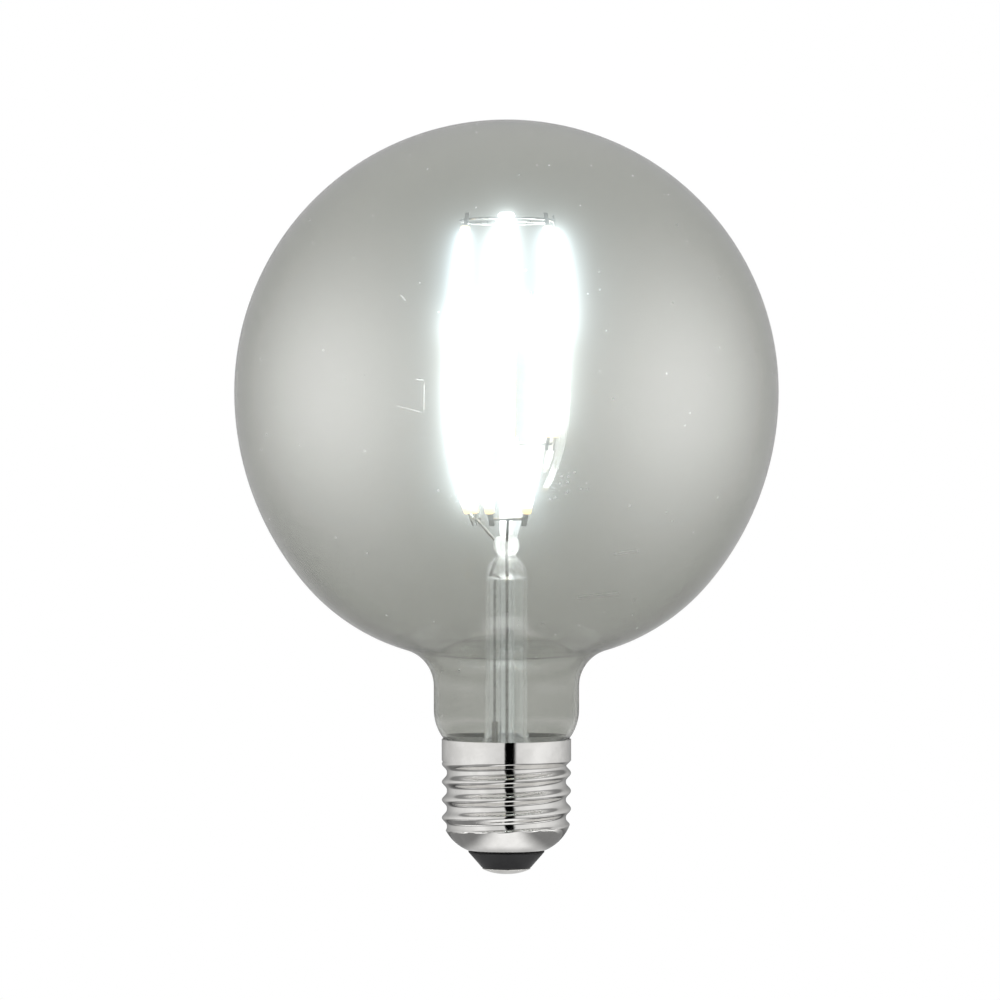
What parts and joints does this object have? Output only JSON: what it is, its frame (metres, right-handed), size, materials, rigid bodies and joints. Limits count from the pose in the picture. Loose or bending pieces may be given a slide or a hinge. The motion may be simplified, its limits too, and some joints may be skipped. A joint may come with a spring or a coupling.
{
  "type": "led filament bulb",
  "caption": "Globe light bulb in smoky glass with bowed LED filaments on a glass stem, a driver board in its base and an Edison screw cap.",
  "frame": {"origin": "tip of the centre contact, on the bulb's axis", "axes": "+Z along the axis from the cap up through the globe, -Y towards the viewer of the picture"},
  "size_m": [0.11, 0.11, 0.1524],
  "materials": {
    "smoky_glass": "clear smoky glass",
    "clear_glass": "clear",
    "plated_wire": "plated",
    "lit_phosphor": "matte coat, lit",
    "nickel_shell": "bright plating",
    "black_insulator": "satin",
    "bright_contact": "bright plating",
    "cement": "matte",
    "board": "satin resist",
    "chip_black": "moulded",
    "capacitor_can": "sleeved can",
    "resistor_body": "lacquered",
    "woven_sleeve": "woven"
  },
  "bodies": {
    "root": {"basing_cement": "cement", "bridge_rectifier": "chip_black", "cap_insulator": "black_insulator", "centre_contact": "bright_contact", "crossbar_live": "plated_wire", "crossbar_neutral": "plated_wire", "driver_board": "board", "driver_chip": "chip_black", "exhaust_tube": "clear_glass", "filament_lower_1": "lit_phosphor", "filament_lower_2": "lit_phosphor", "filament_lower_3": "lit_phosphor", "filament_lower_4": "lit_phosphor", "filament_tabs_lower": "plated_wire", "filament_tabs_upper": "plated_wire", "filament_upper_1": "lit_phosphor", "filament_upper_2": "lit_phosphor", "filament_upper_3": "lit_phosphor", "filament_upper_4": "lit_phosphor", "fuse_resistor": "resistor_body", "glass_globe": "smoky_glass", "lead_sleeve": "woven_sleeve", "lead_wire_live": "plated_wire", "lead_wire_neutral": "plated_wire", "link_wire_1": "plated_wire", "link_wire_2": "plated_wire", "link_wire_3": "plated_wire", "link_wire_4": "plated_wire", "ring_stay_1": "plated_wire", "ring_stay_2": "plated_wire", "ring_stay_3": "plated_wire", "screw_shell": "nickel_shell", "sense_resistors": "chip_black", "shell_wire": "plated_wire", "smoothing_capacitor": "capacitor_can", "stem_tube": "clear_glass", "support_rod": "clear_glass", "top_ring": "plated_wire"}
  },
  "joints": []
}
